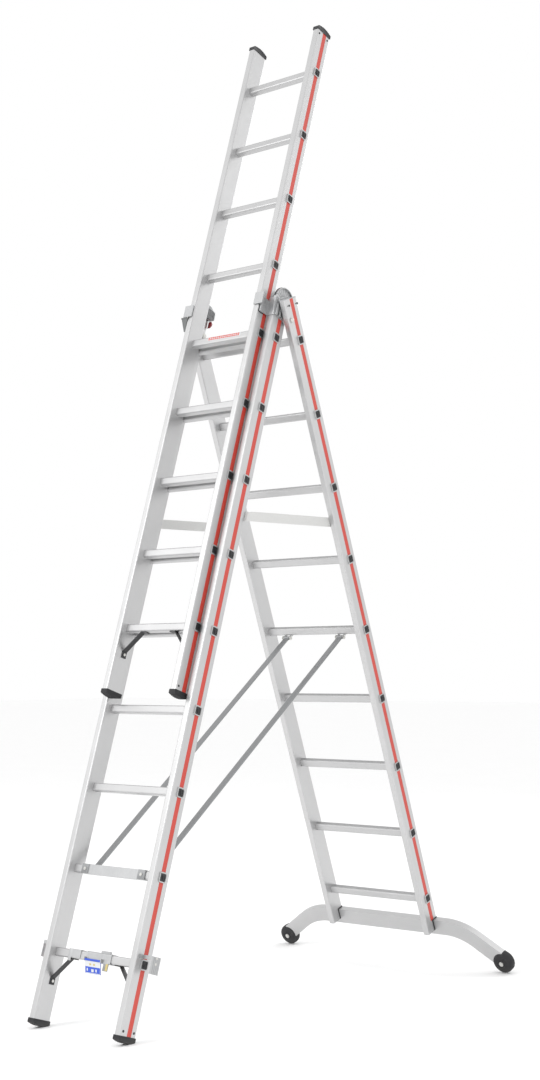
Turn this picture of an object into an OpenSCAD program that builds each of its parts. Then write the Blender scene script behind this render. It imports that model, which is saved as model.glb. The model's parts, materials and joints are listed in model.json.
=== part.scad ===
// Three-section combination ladder, standing as a step ladder with its top section raised.
// Each section is drawn in its own frame: x across, y to the rear, z up along the side rails,
// with its origin on the axis of its lowest rung.

/* [Sections] */
// Rungs in each section
rung_count = 9; // [6:1:11]
// Distance from one rung to the next
rung_pitch = 280; // [250:1:336]
// Outside width of the raised section
ext_width = 346; // [300:1:420]
// How much wider each following section is
width_step = 72; // [70:1:90]
// Rungs by which the top section is raised
raised_rungs = 4; // [2:1:5]
// Lean of the front sections from upright, in degrees
front_lean = 17.89; // [14:0.01:21]
// Lean of the rear section from upright, in degrees
rear_lean = 20.46; // [17:0.01:25]

/* [Side rails] */
// Depth of a side rail, front to rear
rail_depth = 74; // [66:1:90]
// Thickness of a side rail, across the ladder
rail_width = 25; // [22:1:28]
// Wall of a side rail
rail_wall = 2.4; // [2:0.1:3]
// Corner radius of a side rail
rail_corner = 4; // [3:0.5:5]
// How far the rail's centre lies in front of the rungs' axes
rail_forward = 5; // [3:0.5:7]
// Rail below the lowest rung of the base section
base_low = 223; // [200:1:260]
// Rail above the top rung of the base section
base_high = 145; // [135:1:170]
// Rail below the lowest rung of the raised section
ext_low = 231; // [200:1:260]
// Rail above the top rung of the raised section
ext_high = 176; // [120:1:220]
// Rail above the top rung of the rear section
rear_high = 154; // [135:1:170]
// Width of the groove that holds the stripe
groove_width = 20; // [12:1:20]
// Depth of that groove
groove_depth = 0.9; // [0.5:0.1:1.2]

/* [Rungs] */
// Size of a rung's square section
rung_size = 28; // [24:1:30]
// Wall of a rung
rung_wall = 1.8; // [1.5:0.1:2.4]
// Corner radius of a rung
rung_corner = 5; // [3:0.5:6]
// Size of the flared rim outside the rail
rim_size = 34; // [32:1:38]
// How far the rim stands out of the rail
rim_out = 3.5; // [2:0.5:4]
// Depth of the treads' ribs
tread_rib = 0.8; // [0.5:0.1:1]

/* [Hinge] */
// Height of the hinge above the top rungs
hinge_rise = 78; // [70:1:90]
// Radius of the hinge bolt
hinge_r = 6; // [5:0.5:8]
// Radius of the bracket's round hood
hood_r = 50; // [44:1:56]
// Thickness of the bracket's plates
plate = 4; // [3:0.5:4.5]
// Height of the bracket's clamp below its hood
clamp_height = 72; // [70:1:100]

/* [Feet] */
// Radius of the curved sole and cap ends
sole_r = 100; // [80:1:140]
// Thickness of a cap at its corners
cap_edge = 14; // [6:1:14]
// Radius of the crossbar's round feet
wheel_r = 42; // [40:1:52]
// Thickness of the crossbar's round feet
wheel_thick = 42; // [40:1:52]
// Rounding of their rims
wheel_round = 10; // [6:1:14]

/* [Crossbar] */
// Height of the crossbar's section
bar_height = 60; // [56:1:76]
// Depth of the crossbar's section
bar_depth = 28; // [22:1:30]
// Wall of the crossbar
bar_wall = 3; // [2:0.5:4]
// Drop of the crossbar below the lowest rung of the rear section
bar_drop = 127; // [112:1:130]
// Half length of its straight middle
bar_half = 290; // [280:1:330]
// Radius of its bends
bar_bend = 230; // [180:1:300]
// Slope of its ends, in degrees
bar_slope = 35; // [26:1:37]
// Half distance between its feet
stance = 526; // [500:1:580]

/* [Struts] */
// Half distance between the two struts
strut_x = 130; // [110:1:135]
// Width of a strut
strut_width = 24; // [18:1:28]
// Thickness of a strut
strut_thick = 5; // [4:0.5:6]
// Rung of the base section that the struts reach
strut_low_rung = 2; // [2:1:2]
// Rung of the rear section that carries the struts
strut_high_rung = 5; // [5:1:5]

/* [Details] */
// Height of the webbing belts
belt_height = 35; // [25:1:40]
// Height of the belts above the lowest rung
belt_rise = 1555; // [1450:1:1580]
// Drop of the corner braces along the rails
brace_drop = 96; // [80:1:110]
// Reach of the corner braces along the rungs
brace_reach = 92; // [80:1:110]
// Width of the corner braces
brace_width = 20; // [14:1:24]

/* [Hidden] */

$fn = 48;
eps = 0.02;
gap = 0.3;                   // running clearance beside moving pieces
fit = 0.2;                   // clearance of a piece in its hole
rivet_r = 4;                 // head of a rivet
rivet_head = 1.2;
rivet_shank = 2.4;
top = (rung_count - 1) * rung_pitch;
nest_clear = 1;              // between a section's rungs and the next section's rails
nest = rung_size / 2 + rail_depth / 2 - rail_forward + nest_clear;
half_nest = nest / 2;
ext_half = ext_width / 2;
base_half = (ext_width + width_step) / 2;
rear_half = (ext_width + 2 * width_step) / 2;
base_inner = base_half - rail_width;
ext_inner = ext_half - rail_width;
rear_inner = rear_half - rail_width;
rail_front = -rail_forward - rail_depth / 2;
rail_rear = -rail_forward + rail_depth / 2;
cap_over = 1.5;              // how far a cap stands out past its rail
cap_half = rail_depth / 2 + cap_over;
cap_arc = sqrt(sole_r * sole_r - cap_half * cap_half);
hinge_z = top + hinge_rise;
silver = "#c9cbcc";
black = "#1d1e20";
red = "#cc3a30";

// Where the sections stand: the curved soles touch the floor at z = 0.
sole_z = base_low + cap_edge - cap_arc;
base_z = sole_r - rail_forward * sin(front_lean) + sole_z * cos(front_lean);
toe = -(rail_front - cap_over) * cos(front_lean) + (base_low + cap_edge) * sin(front_lean);
hinge_up = base_z - half_nest * sin(front_lean) + hinge_z * cos(front_lean);
hinge_back = half_nest * cos(front_lean) + hinge_z * sin(front_lean);
bar_y = rail_rear - bar_depth / 2;
wheel_reach = wheel_r - wheel_round;
wheel_side = wheel_thick / 2 - wheel_round;
wheel_lift = wheel_reach * cos(rear_lean) + wheel_side * sin(rear_lean) + wheel_round;
wheel_z = hinge_z
  + (wheel_lift - hinge_up - (bar_y + half_nest) * sin(rear_lean)) / cos(rear_lean);
heel = hinge_back + (bar_y + half_nest) * cos(rear_lean) - (wheel_z - hinge_z) * sin(rear_lean)
  + wheel_side * cos(rear_lean) + wheel_reach * sin(rear_lean) + wheel_round;
base_y = (toe - heel) / 2;

module in_base() {
  translate([0, base_y, base_z]) rotate([-front_lean, 0, 0]) children();
}
module in_ext() {
  in_base() translate([0, -nest, raised_rungs * rung_pitch]) children();
}
module in_rear() {
  translate([0, base_y + hinge_back, hinge_up]) rotate([rear_lean, 0, 0])
    translate([0, half_nest, -hinge_z]) children();
}
module on_left() { mirror([1, 0, 0]) children(); }
module on_both() { children(); mirror([1, 0, 0]) children(); }

function arc(x, y, r, from, to, steps = 6) =
  [for (i = [0 : steps]) let (a = from + (to - from) * i / steps) [x + r * cos(a), y + r * sin(a)]];
function round_rect(w, h, r) = concat(
  arc(w / 2 - r, h / 2 - r, r, 0, 90), arc(-w / 2 + r, h / 2 - r, r, 90, 180),
  arc(-w / 2 + r, -h / 2 + r, r, 180, 270), arc(w / 2 - r, -h / 2 + r, r, 270, 360));

// Extrudes an outline drawn in (y, z) from x0 to x1
module across(x0, x1) {
  translate([x0, 0, 0]) rotate([90, 0, 90]) linear_extrude(x1 - x0) children();
}
// A round bar along x
module round_bar(x0, x1, r) {
  translate([x0, 0, 0]) rotate([0, 90, 0]) cylinder(r = r, h = x1 - x0);
}

// ---- pieces that every section has ----

module rail(outer, low, high, rivets) {
  mid = outer - rail_width / 2;
  difference() {
    translate([mid, -rail_forward, -low]) linear_extrude(low + top + high) difference() {
      polygon(round_rect(rail_width, rail_depth, rail_corner));
      polygon(round_rect(rail_width - 2 * rail_wall, rail_depth - 2 * rail_wall,
                         rail_corner - rail_wall));
      translate([rail_width / 2 - groove_depth, rail_forward - groove_width / 2])
        square([2 * groove_depth, groove_width]);
    }
    for (i = [0 : rung_count - 1]) translate([0, 0, i * rung_pitch])
      across(mid - rail_width, mid + rail_width)
        polygon(round_rect(rung_size + 2 * fit, rung_size + 2 * fit, rung_corner + fit));
    for (p = rivets) translate([0, p[0], p[1]])
      round_bar(outer - 2 * rail_wall, outer + 1, rivet_shank + eps);
    children();
  }
}

module stripe(outer, low, high) {
  edge = groove_width / 2 - fit;
  difference() {
    translate([outer - groove_depth, -edge, -low + fit])
      cube([groove_depth - fit, 2 * edge, low + top + high - 2 * fit]);
    for (i = [0 : rung_count - 1]) translate([outer - 2 * groove_depth, 0, i * rung_pitch])
      translate([0, -groove_width, -rim_size / 2 - fit])
        cube([4 * groove_depth, 2 * groove_width, rim_size + 2 * fit]);
    children();
  }
}

module rungs(outer) {
  inner_size = rung_size - 2 * rung_wall;
  rim_inner = rim_size - 2 * rung_wall - 3;
  rib_count = 6;
  rib_step = (rung_size - 2 * rung_corner) / rib_count;
  for (i = [0 : rung_count - 1]) translate([0, 0, i * rung_pitch]) difference() {
    union() {
      across(-outer - rim_out, outer + rim_out)
        polygon(round_rect(rung_size, rung_size, rung_corner));
      on_both() across(outer, outer + rim_out)
        polygon(round_rect(rim_size, rim_size, rung_corner + 2));
    }
    across(-outer - rim_out - 1, outer + rim_out + 1)
      polygon(round_rect(inner_size, inner_size, rung_corner - rung_wall));
    on_both() across(outer + rim_out / 2, outer + rim_out + 1)
      polygon(round_rect(rim_inner, rim_inner, rung_corner));
    for (k = [0 : rib_count - 1])
      translate([-outer + rail_width + 2, -rung_size / 2 + rung_corner + (k + 0.25) * rib_step,
                 rung_size / 2 - tread_rib])
        cube([2 * (outer - rail_width - 2), rib_step / 2, 2 * tread_rib]);
  }
}

// Cap for the lower end of a rail, its end face at z = 0
module end_cap(outer) {
  mid = outer - rail_width / 2;
  plug = 22;
  across(outer - rail_width - cap_over, outer + cap_over)
    polygon(concat(
      [[-rail_forward + cap_half, 0], [-rail_forward - cap_half, 0]],
      [for (i = [0 : 12]) let (y = cap_half * (i / 6 - 1))
        [-rail_forward + y, cap_arc - cap_edge - sqrt(sole_r * sole_r - y * y)]]));
  translate([mid, -rail_forward, -eps]) linear_extrude(plug)
    polygon(round_rect(rail_width - 2 * rail_wall - 2 * fit, rail_depth - 2 * rail_wall - 2 * fit,
                       rail_corner - rail_wall - fit));
}

// Corner brace from under the lowest rung to a rail's inner face
brace_thick = 3;
brace_flat = 24;
module brace(inner) {
  run = brace_reach - brace_flat;
  under = -rung_size / 2;
  bend = -brace_drop + brace_flat / 2;
  slope = atan2(under - bend, run);
  difference() {
    translate([0, brace_width / 2, 0]) rotate([90, 0, 0]) linear_extrude(brace_width) polygon([
      [inner, bend - brace_flat], [inner, bend],
      [inner - run, under], [inner - run - brace_flat, under],
      [inner - run - brace_flat, under - brace_thick],
      [inner - run - brace_thick * tan(slope / 2), under - brace_thick],
      [inner - brace_thick, bend - brace_thick * tan(45 - slope / 2)],
      [inner - brace_thick, bend - brace_flat]]);
    translate([0, 0, -brace_drop]) round_bar(inner - 10, inner + 1, rivet_shank + eps);
  }
}
module brace_rivet(inner) {
  translate([0, 0, -brace_drop]) {
    round_bar(inner - brace_thick - 2, inner - brace_thick, 5);
    round_bar(inner - brace_thick - eps, inner + rail_wall, rivet_shank);
  }
}
// Hole that a brace's rivet takes in the rail
module brace_hole(inner) {
  translate([0, 0, -brace_drop]) round_bar(inner - 1, inner + 2 * rail_wall, rivet_shank + eps);
}

module rivet(x, y, z) {
  translate([0, y, z]) {
    round_bar(x, x + rivet_head, rivet_r);
    round_bar(x - rail_wall, x + eps, rivet_shank);
  }
}

// ---- base section ----

base_rivets = [[rail_front + 12, -base_low + 14], [rail_rear - 12, -base_low + 14]];
clamp_low = top + base_high - clamp_height;

module base_rail() {
  in_base() rail(base_half, base_low, base_high, base_rivets) {
    translate([0, half_nest, hinge_z]) round_bar(0, rear_half, hinge_r + eps);
    brace_hole(base_inner);
  }
}
module base_rungs() { color(silver) in_base() rungs(base_half); }
module base_foot() { in_base() translate([0, 0, -base_low]) end_cap(base_half); }
module base_stripe() {
  in_base() stripe(base_half, base_low, base_high)
    translate([0, -groove_width, clamp_low - fit])
      cube([2 * base_half, 2 * groove_width, clamp_height * 2]);
}
module base_rivets() {
  color(black) in_base() on_both() for (p = base_rivets) rivet(base_half, p[0], p[1]);
}

// Bracket on the base rail's top: hood, clamp and the hook that guides the raised section
hook_x = ext_half + (base_inner - ext_half - plate) / 2 + 0.75;
hook_front = -nest + rail_front - gap - 2;
lip_width = 40;
lip_x = hook_x + plate + 10;
lip_low = clamp_low + 25;
lip_high = top + base_high;
module hinge_bracket() {
  hood_z = top + base_high;
  clamp_front = rail_front - plate;
  clamp_rear = rail_rear - 2;
  rib_step = 8;
  in_base() difference() {
    union() {
      // plate on the rail's outer face, with the round hood on top
      across(base_half, base_half + plate) polygon(concat(
        [[clamp_front, clamp_low], [clamp_rear, clamp_low]],
        arc(-rail_forward, hood_z, hood_r, 0, 180, 24)));
      across(base_half, rear_inner - 2 * gap) difference() {
        polygon(concat(arc(-rail_forward, hood_z, hood_r, 8, 172, 24),
                       arc(-rail_forward, hood_z, hood_r - 3, 172, 8, 24)));
      }
      // flange on the rail's front face
      translate([hook_x, clamp_front, clamp_low])
        cube([base_half + plate - hook_x, plate, clamp_height]);
      // side wall of the hook
      translate([hook_x, hook_front - plate, clamp_low])
        cube([plate, clamp_front - hook_front + 2 * plate, clamp_height - 14]);
      // lip in front of the raised section's rail
      translate([lip_x - lip_width, hook_front - plate, lip_low])
        cube([lip_width, plate, lip_high - lip_low]);
      // ribs on the side wall of the hook
      for (k = [0 : 2]) translate([hook_x + plate - eps, hook_front + 8 + k * rib_step * 1.5, lip_low + 2])
        cube([1.6, 3, clamp_low + clamp_height - 16 - lip_low]);
      // lid over the rail's open top
      translate([base_inner, clamp_front, hood_z + fit])
        cube([rail_width + plate, rail_depth + plate, plate / 2]);
      // ribs on the outer plate
      for (k = [0 : 3]) translate([base_half + plate - eps, clamp_front + 2 + k * rib_step, clamp_low])
        cube([1.6, 3, clamp_height]);
    }
    translate([0, half_nest, hinge_z]) round_bar(0, rear_half, hinge_r + eps);
    // cut away the wall below the lip
    translate([hook_x - 1, hook_front - plate - 1, clamp_low - 1])
      cube([plate + 2, 12, lip_low - clamp_low + 1]);
  }
}

// Hinge bolt through the base rail, the bracket and the rear rail
module hinge_bolt() {
  nut = 5;
  in_base() translate([0, half_nest, hinge_z]) {
    round_bar(base_inner - nut - 1, rear_half + gap + 2, hinge_r);
    translate([base_inner - nut, 0, 0]) rotate([0, 90, 0]) cylinder(r = hinge_r * 1.9, h = nut, $fn = 6);
    round_bar(rear_half + gap, rear_half + gap + 2.5, hinge_r + 3.5);
  }
}

// Wing outside the base rail that guides the rear section's rail when it is folded in
wing_x = rear_half + 3;
module side_guide() {
  wing = 3;
  link_low = rim_size / 2 + 2;
  link_high = link_low + 12;
  wing_front = rail_front + rail_depth / 2;
  in_base() difference() {
    union() {
      translate([base_half, wing_front - 8, link_low])
        cube([wing_x + wing - base_half, wing, link_high - link_low]);
      translate([base_half, wing_front - 24, link_low]) cube([wing, 18, link_high - link_low]);
      translate([wing_x, wing_front - 8, -24]) cube([wing, 40, link_high + 24]);
    }
    for (k = [0 : 3]) translate([wing_x + wing - 0.8, wing_front - 2 + 8 * k, -25])
      cube([2, 4, link_high + 26]);
  }
}

// Seat around a base rung, with hooks behind it that the strut rod rests in
rod_r = 5;
rod_back = 23;               // how far behind the rung's middle the rod rests
hook_at = strut_x - strut_width / 2 - 24;
seat_half = ext_inner - 2;
end_plate = 1.5;
seat_front = -rung_size / 2 - fit - 2 - end_plate;
module strut_seat() {
  skin = 2;
  side = rung_size / 2;
  wrap = side + fit;
  out = wrap + skin;
  color(silver) in_base() translate([0, 0, (strut_low_rung - 1) * rung_pitch]) {
    across(-seat_half, seat_half) polygon([
      [side - 10, wrap], [side - 10, out], [-out, out],
      [-out, -out], [side - 10, -out], [side - 10, -wrap],
      [-wrap, -wrap], [-wrap, wrap]]);
    on_both() translate([strut_x - 16, seat_front, -out]) cube([32, end_plate + eps, 2 * out]);
    on_both() across(hook_at - 5, hook_at + 5) difference() {
      polygon([[side - 12, out - eps], [side - 4, out + 4], [rod_back + 4, out + 4],
        [rod_back + 10, side - 2], [rod_back + 10, -4], [wrap, -4], [wrap, wrap], [side - 12, wrap]]);
      translate([rod_back - rod_r - gap, -10]) square([2 * rod_r + 2 * gap, 10]);
      translate([rod_back, 0]) circle(r = rod_r + gap);
    }
  }
}
module seat_bolts() {
  color(silver) in_base() translate([0, seat_front, (strut_low_rung - 1) * rung_pitch])
    on_both() translate([strut_x, 0, 0]) rotate([90, 0, 0]) cylinder(r = 6, h = 3, $fn = 6);
}

// Clamp around the lowest rung that carries the hanging label plate
clamp_x0 = -37;
clamp_x1 = 77;
label_x0 = -33;
label_x1 = 39;
label_pivot = [-rung_size / 2 - 7.5, -rung_size / 2 + 3];
module rung_clamp() {
  skin = 2.5;
  wrap = rung_size / 2 + fit;
  out = wrap + skin;
  ear_reach = -out + eps - label_pivot[0] + 4;
  color(silver) in_base() {
    across(clamp_x0, clamp_x1) difference() {
      polygon(round_rect(2 * out, 2 * out, rung_corner));
      square(2 * wrap, center = true);
    }
    across(16, 55) translate([-4, out - eps]) square([10, 8]);
    // ears that hold the label's pin
    for (x = [label_x0 - 3.5, label_x1 + 0.5]) across(x, x + 3) difference() {
      translate([label_pivot[0] - 4, label_pivot[1] - 4]) square([ear_reach, 12]);
      translate([label_pivot[0], label_pivot[1]]) circle(r = 2);
    }
    // small tab beside the label
    across(48, 71) translate([-wrap - skin, -40]) square([2, 40]);
  }
}
module label_plate() {
  color("#2f46c8") in_base() translate([0, label_pivot[0], label_pivot[1]])
    rotate([front_lean, 0, 0]) difference() {
      union() {
        across(label_x0 + gap, label_x1 - gap) translate([-1, -44]) square([2, 42]);
        round_bar(label_x0 + gap, label_x1 - gap, 3.6);
      }
      round_bar(label_x0 - 1, label_x1 + 1, 2.05);
    }
}
module label_pin() {
  color(silver) in_base() translate([0, label_pivot[0], label_pivot[1]])
    round_bar(label_x0 - 4, label_x1 + 4, 2);
}

// Webbing belt from the rear face of a base rail to the inner face of a rear rail
module belt() {
  thick = 1.6;
  half_open = (front_lean + rear_lean) / 2;
  drop = hinge_z - belt_rise;
  flat_reach = 26;
  tab_width = 20;
  far = 2 * drop * sin(half_open) - (rail_rear - half_nest) / cos(half_open)
    + rail_forward - rail_depth / 2;
  in_base() translate([0, rail_rear, belt_rise]) rotate([half_open, 0, 0]) {
    translate([rear_inner - thick - gap, 6, -belt_height / 2])
      cube([thick, far + flat_reach, belt_height]);
  }
  in_base() translate([0, rail_rear, belt_rise - belt_height / 2]) {
    translate([rear_inner - tab_width, 0, 0]) cube([tab_width - gap, thick, belt_height]);
    translate([rear_inner - thick - gap, 0, 0]) cube([thick, 14, belt_height]);
  }
}

// ---- raised section ----

ext_rivets = [[rail_front + 12, -ext_low + 14], [rail_rear - 12, -ext_low + 14],
              [rail_front + 12, top + ext_high - 14], [rail_rear - 12, top + ext_high - 14]];

module ext_rail() { in_ext() rail(ext_half, ext_low, ext_high, ext_rivets) brace_hole(ext_inner); }
module ext_rungs() { color(silver) in_ext() rungs(ext_half); }
module ext_stripe() { in_ext() stripe(ext_half, ext_low, ext_high); }
module ext_foot() { in_ext() translate([0, 0, -ext_low]) end_cap(ext_half); }
module ext_top_cap() {
  in_ext() translate([0, 0, top + ext_high]) mirror([0, 0, 1]) end_cap(ext_half);
}
module ext_rivets() {
  color(black) in_ext() on_both() for (p = ext_rivets) rivet(ext_half, p[0], p[1]);
}

// ---- rear section ----

rear_rivets = [[rail_front + 12, top + rear_high - 23], [rail_rear - 12, top + rear_high - 23]];
liner = 3;
leg_drop = 12;               // how far the rail's front leg runs below the crossbar's middle
rear_low = bar_drop + leg_drop;
notch_y = bar_y - bar_depth / 2 - liner;
notch_z = -bar_drop + bar_height / 2 + liner;

module rear_rail() {
  in_rear() rail(rear_half, rear_low, rear_high, rear_rivets) {
    translate([0, -half_nest, hinge_z]) round_bar(0, rear_half + 1, bush_r + eps);
    translate([0, notch_y, -2 * bar_drop]) cube([2 * rear_half, rail_depth, 2 * bar_drop + notch_z]);
  }
}
module rear_rungs() { color(silver) in_rear() rungs(rear_half); }
module rear_stripe() {
  in_rear() stripe(rear_half, -notch_z, rear_high) translate([0, -half_nest, hinge_z])
    round_bar(0, rear_half + 1, hinge_r + 6);
}
module rear_cap() {
  in_rear() translate([rear_half - rail_width / 2, -rail_forward, top + rear_high])
    linear_extrude(3) polygon(round_rect(rail_width, rail_depth, rail_corner));
}
module rear_rivets() {
  color(black) in_rear() on_both() for (p = rear_rivets) rivet(rear_half, p[0], p[1]);
}

// Plastic bush in the rear rail, running on the hinge bolt
bush_r = hinge_r + 3;
module hinge_bush() {
  in_rear() translate([0, -half_nest, hinge_z]) difference() {
    union() {
      round_bar(rear_inner - gap, rear_half, bush_r);
      round_bar(base_half + plate + gap, rear_inner, bush_r + 5);
    }
    round_bar(0, rear_half + 1, hinge_r + 0.06);
  }
}

// Crossbar, drawn in (x, z) around the middle of its straight stretch
bend_x = bar_half + bar_bend * sin(bar_slope);
bend_z = -bar_bend * (1 - cos(bar_slope));
end_past = 10;               // how far the tube runs past the foot's centre
end_x = stance + end_past;
end_z = bend_z - (end_x - bend_x) * tan(bar_slope);
function bar_edge(off, past) = concat(
  arc(bar_half, -bar_bend, bar_bend + off, 90, 90 - bar_slope, 12),
  [[end_x + past * cos(bar_slope) + off * sin(bar_slope),
    end_z - past * sin(bar_slope) + off * cos(bar_slope)]]);
function flip(points) = [for (i = [len(points) - 1 : -1 : 0]) points[i]];
function opposite(points) = [for (p = flip(points)) [-p[0], p[1]]];
// Outline of the bar, off from its middle line and past its ends
function bar_outline(off, past = 0) = let (upper = bar_edge(off, past), lower = bar_edge(-off, past))
  concat(opposite(upper), upper, flip(lower), flip(opposite(lower)));

module in_bar() { in_rear() translate([0, bar_y, -bar_drop]) rotate([90, 0, 0]) children(); }
module slab(outline, depth) { translate([0, 0, -depth / 2]) linear_extrude(depth) polygon(outline); }

module foot_bolt_hole() {
  translate([stance, wheel_z + bar_drop, -wheel_thick]) cylinder(r = 5 + eps, h = 2 * wheel_thick);
}

module crossbar() {
  color(silver) in_bar() difference() {
    slab(bar_outline(bar_height / 2), bar_depth);
    slab(bar_outline(bar_height / 2 - bar_wall, 1), bar_depth - 2 * bar_wall);
    on_both() foot_bolt_hole();
  }
}

module crossbar_foot() {
  socket = 46;
  socket_wall = 4;
  in_bar() difference() {
    union() {
      translate([stance, wheel_z + bar_drop, 0]) rotate_extrude($fn = 96) polygon(concat(
        [[0, -wheel_thick / 2]],
        arc(wheel_r - wheel_round, -wheel_side, wheel_round, -90, 0, 6),
        arc(wheel_r - wheel_round, wheel_side, wheel_round, 0, 90, 6),
        [[0, wheel_thick / 2]]));
      translate([end_x, end_z, 0]) rotate([0, 0, -bar_slope])
        translate([-socket / 2 + socket_wall, 0, -wheel_thick / 2 + 2]) linear_extrude(wheel_thick - 4)
          polygon(round_rect(socket, bar_height + 2 * socket_wall, 6));
    }
    slab(bar_outline(bar_height / 2 + fit), bar_depth + 2 * fit);
    foot_bolt_hole();
  }
}
module crossbar_bolts() {
  color(silver) in_bar() on_both() translate([stance, wheel_z + bar_drop, 0]) {
    translate([0, 0, -wheel_thick / 2 - 3]) cylinder(r = 5, h = wheel_thick + 6);
    for (z = [-wheel_thick / 2 - 3, wheel_thick / 2]) translate([0, 0, z]) cylinder(r = 9, h = 3);
  }
}

// Black liner between a rear rail's foot and the crossbar
module crossbar_liner() {
  in_rear() across(rear_inner - 1.5, rear_half + 1.5) polygon([
    [notch_y, -rear_low], [notch_y, notch_z], [rail_rear, notch_z],
    [rail_rear, notch_z - liner], [notch_y + liner, notch_z - liner], [notch_y + liner, -rear_low]]);
}

// ---- struts ----

lug_y = -20;
lug_drop = 22;
eye_r = 7;
pin_r = 4;
strut_rise = (strut_high_rung - 1) * rung_pitch;
// strut ends in the base section's frame
function from_rear(y, z) = let (a = front_lean + rear_lean, v = y + half_nest, w = z - hinge_z)
  [half_nest + v * cos(a) - w * sin(a), hinge_z + v * sin(a) + w * cos(a)];
rod_at = [rod_back, (strut_low_rung - 1) * rung_pitch];
lug_at = from_rear(lug_y, strut_rise - lug_drop);
strut_span = norm(lug_at - rod_at);
strut_tilt = atan2(lug_at[1] - rod_at[1], lug_at[0] - rod_at[0]);

module in_strut() {
  in_base() translate([0, rod_at[0], rod_at[1]]) rotate([strut_tilt, 0, 0]) children();
}
module strut() {
  x0 = strut_x - strut_width / 2;
  in_strut() difference() {
    union() {
      translate([x0, 0, -strut_thick / 2]) cube([strut_width, strut_span, strut_thick]);
      round_bar(x0, x0 + strut_width, eye_r);
      translate([0, strut_span, 0]) round_bar(x0, x0 + strut_width, eye_r);
    }
    round_bar(0, 2 * strut_x, rod_r + eps);
    translate([0, strut_span, 0]) round_bar(0, 2 * strut_x, pin_r + 0.06);
  }
}
module strut_rod() {
  color(silver) in_strut() {
    round_bar(-strut_x - strut_width / 2 - 2, strut_x + strut_width / 2 + 2, rod_r);
    on_both() round_bar(strut_x + strut_width / 2, strut_x + strut_width / 2 + 3, rod_r + 3);
  }
}
module strut_lugs() {
  ear = 2;
  ear_gap = strut_width / 2 + gap;
  reach = eye_r - 1;
  under = -rung_size / 2;
  color(silver) in_rear() translate([0, 0, strut_rise]) on_both() {
    for (s = [-1, 1]) {
      x = strut_x + s * (ear_gap + ear / 2) - ear / 2;
      across(x, x + ear) difference() {
        polygon(concat([[rung_size / 2 - 4, under - ear], [rung_size / 2 - 4, under]],
                       [[-rung_size / 2 + 4, under]],
                       arc(lug_y, -lug_drop, reach, 120, 270, 8)));
        translate([lug_y, -lug_drop]) circle(r = pin_r + eps);
      }
    }
    translate([strut_x - ear_gap - ear / 2, -6, under - ear])
      cube([2 * ear_gap + ear, rung_size / 2 + 2, ear]);
  }
}
module strut_pins() {
  color(silver) in_rear() translate([0, lug_y, strut_rise - lug_drop]) on_both()
    round_bar(strut_x - strut_width / 2 - 4, strut_x + strut_width / 2 + 4, pin_r);
}

// ---- catch on the left bracket ----

catch_at = [hook_front - plate / 2, lip_low - 4];
catch_pin_r = 1.6;
catch_x = hook_x + plate + 3;
module catch_flap() {
  wide = 28;
  deep = 52;
  color(black) in_base() on_left() translate([0, catch_at[0], catch_at[1]])
    rotate([front_lean, 0, 0]) difference() {
      union() {
        translate([catch_x - wide / 2, 1.5, 0]) rotate([90, 0, 0]) linear_extrude(3)
          polygon([[0, 0], [wide, 0], [wide / 2 + 3, -deep], [wide / 2 - 3, -deep]]);
        round_bar(catch_x - wide / 2, catch_x + wide / 2, 3);
      }
      round_bar(0, 2 * catch_x, catch_pin_r + 0.05);
    }
}
module catch_pin() {
  half = 14;
  ear = 2;
  color(silver) in_base() on_left() translate([0, catch_at[0], catch_at[1]]) {
    round_bar(catch_x - half - gap - ear, catch_x + half + gap + ear, catch_pin_r);
    for (x = [catch_x - half - gap - ear, catch_x + half + gap])
      translate([x, -plate / 2, -3]) cube([ear, plate, 7]);
  }
}

// ---- the whole ladder ----

color(silver) on_left() base_rail();  // base_rail_left
color(silver) base_rail();  // base_rail_right
base_rungs();
color(black) on_left() base_foot();  // base_foot_left
color(black) base_foot();  // base_foot_right
color(black) on_left() in_base() brace(base_inner);  // base_brace_left
color(black) in_base() brace(base_inner);  // base_brace_right
color(silver) in_base() on_both() brace_rivet(base_inner);  // base_brace_rivets
color(red) on_left() base_stripe();  // base_stripe_left
color(red) base_stripe();  // base_stripe_right
base_rivets();
color(silver) on_left() hinge_bracket();  // hinge_bracket_left
color(silver) hinge_bracket();  // hinge_bracket_right
color(silver) on_left() hinge_bolt();  // hinge_bolt_left
color(silver) hinge_bolt();  // hinge_bolt_right
color(silver) on_left() side_guide();  // side_guide_left
color(silver) side_guide();  // side_guide_right
strut_seat();
seat_bolts();
rung_clamp();
color("#d8d8d4") on_left() belt();  // belt_left
color("#d8d8d4") belt();  // belt_right
color(silver) on_left() ext_rail();  // ext_rail_left
color(silver) ext_rail();  // ext_rail_right
ext_rungs();
color(black) on_left() ext_foot();  // ext_foot_left
color(black) ext_foot();  // ext_foot_right
color(black) on_left() ext_top_cap();  // ext_top_cap_left
color(black) ext_top_cap();  // ext_top_cap_right
color(black) on_left() in_ext() brace(ext_inner);  // ext_brace_left
color(black) in_ext() brace(ext_inner);  // ext_brace_right
color(silver) in_ext() on_both() brace_rivet(ext_inner);  // ext_brace_rivets
color(red) on_left() ext_stripe();  // ext_stripe_left
color(red) ext_stripe();  // ext_stripe_right
ext_rivets();
color(silver) on_left() rear_rail();  // rear_rail_left
color(silver) rear_rail();  // rear_rail_right
rear_rungs();
color(red) on_left() rear_stripe();  // rear_stripe_left
color(red) rear_stripe();  // rear_stripe_right
color(silver) on_left() rear_cap();  // rear_cap_left
color(silver) rear_cap();  // rear_cap_right
rear_rivets();
color(black) on_left() hinge_bush();  // hinge_bush_left
color(black) hinge_bush();  // hinge_bush_right
crossbar();
color(black) on_left() crossbar_foot();  // crossbar_foot_left
color(black) crossbar_foot();  // crossbar_foot_right
color(black) on_left() crossbar_liner();  // crossbar_liner_left
color(black) crossbar_liner();  // crossbar_liner_right
crossbar_bolts();
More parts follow.
